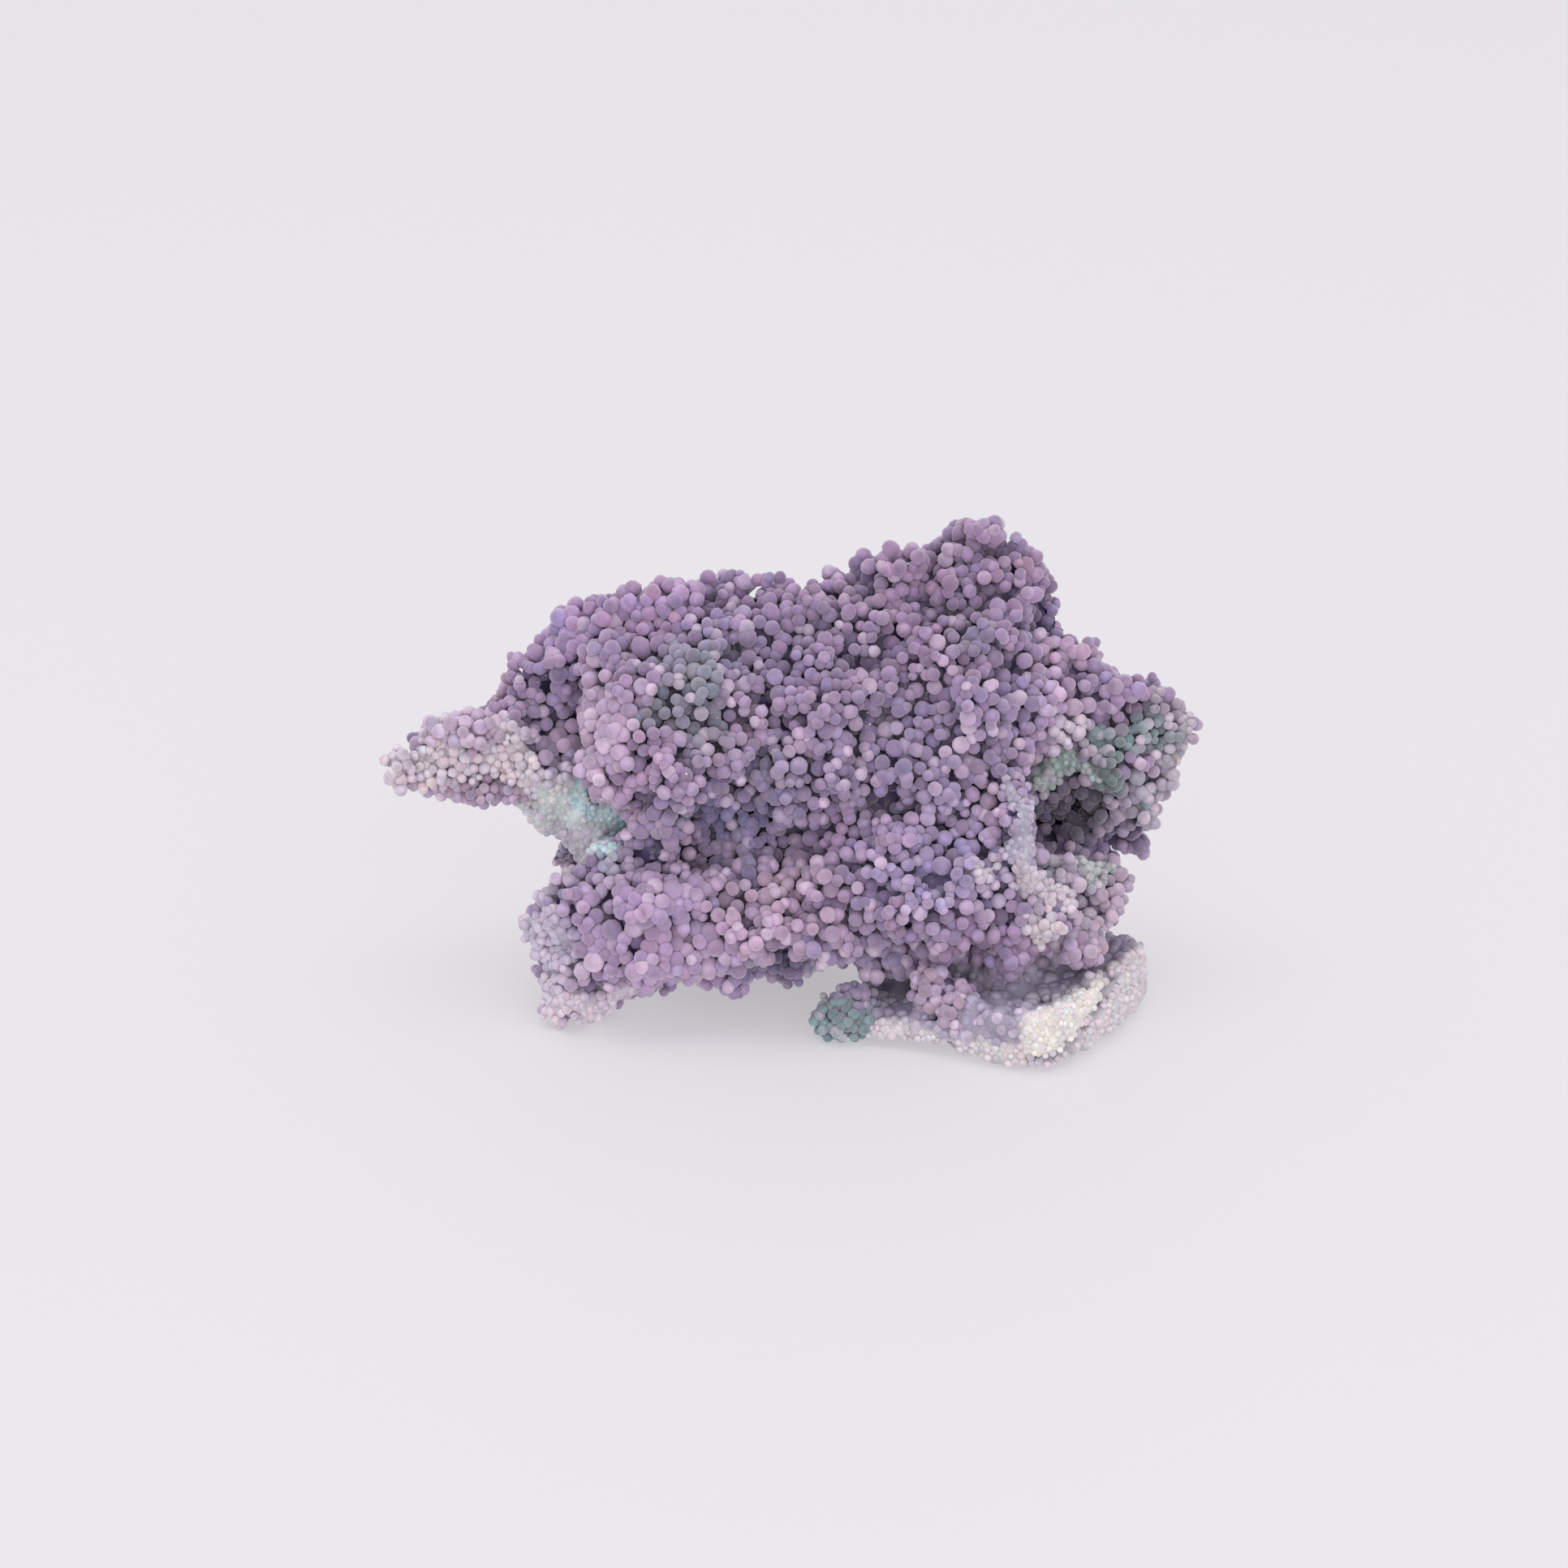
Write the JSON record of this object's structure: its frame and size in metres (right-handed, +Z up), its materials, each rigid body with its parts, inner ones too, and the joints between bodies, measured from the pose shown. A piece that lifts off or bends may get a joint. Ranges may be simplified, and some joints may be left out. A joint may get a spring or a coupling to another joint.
{
  "type": "botryoidal chalcedony specimen",
  "caption": "Hand specimen of purple botryoidal chalcedony: a folded crust grown over with round lumps, resting on two lobes and a flat ledge.",
  "frame": {"origin": "on the ground, below the middle of the specimen's box", "axes": "+X along the length, from the long wing at the left to the short wing at the right; +Z up; -Y towards the broad face with the most lumps"},
  "size_m": [0.1206, 0.0618, 0.0722],
  "materials": {
    "chalcedony": "translucent waxy grey-violet balls with frosted rims, dark in the crevices, pale cream and teal on the broken rind"
  },
  "bodies": {
    "root": {"chalcedony": "chalcedony"}
  },
  "joints": []
}
